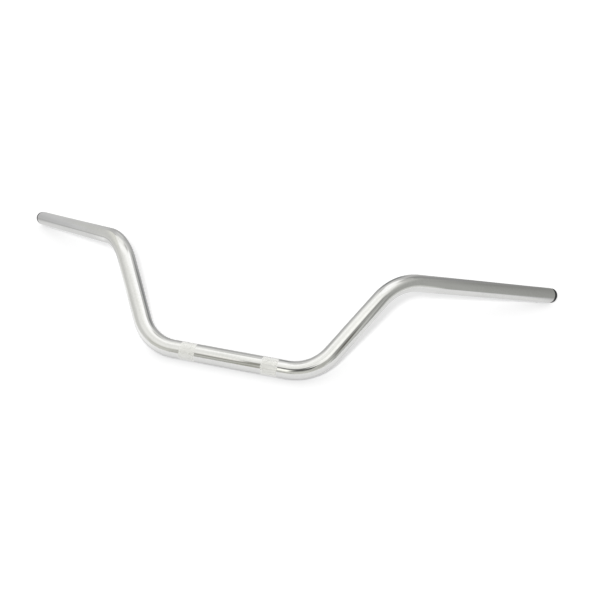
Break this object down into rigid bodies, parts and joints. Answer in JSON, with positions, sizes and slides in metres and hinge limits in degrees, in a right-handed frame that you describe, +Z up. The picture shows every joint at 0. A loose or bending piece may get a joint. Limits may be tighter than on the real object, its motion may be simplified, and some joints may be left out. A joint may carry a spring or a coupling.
{
  "type": "motorcycle handlebar",
  "caption": "Bent chromed steel handlebar with knurled clamp bands, slanting risers, swept-back grip runs and push-in end plugs.",
  "frame": {"origin": "middle of the clamp section, on the tube's axis", "axes": "+X along the clamp axis, to the right as seen from the clamp side; +Y from the clamp section towards the grips; +Z up, with the bar lying at rest on its clamp section and both ends"},
  "size_m": [0.8352, 0.2644, 0.0915],
  "materials": {
    "chrome": "polished chrome plating",
    "black_plastic": "moulded satin"
  },
  "bodies": {
    "root": {"handlebar_tube": "chrome", "end_plug_left": "black_plastic", "end_plug_right": "black_plastic"}
  },
  "joints": []
}
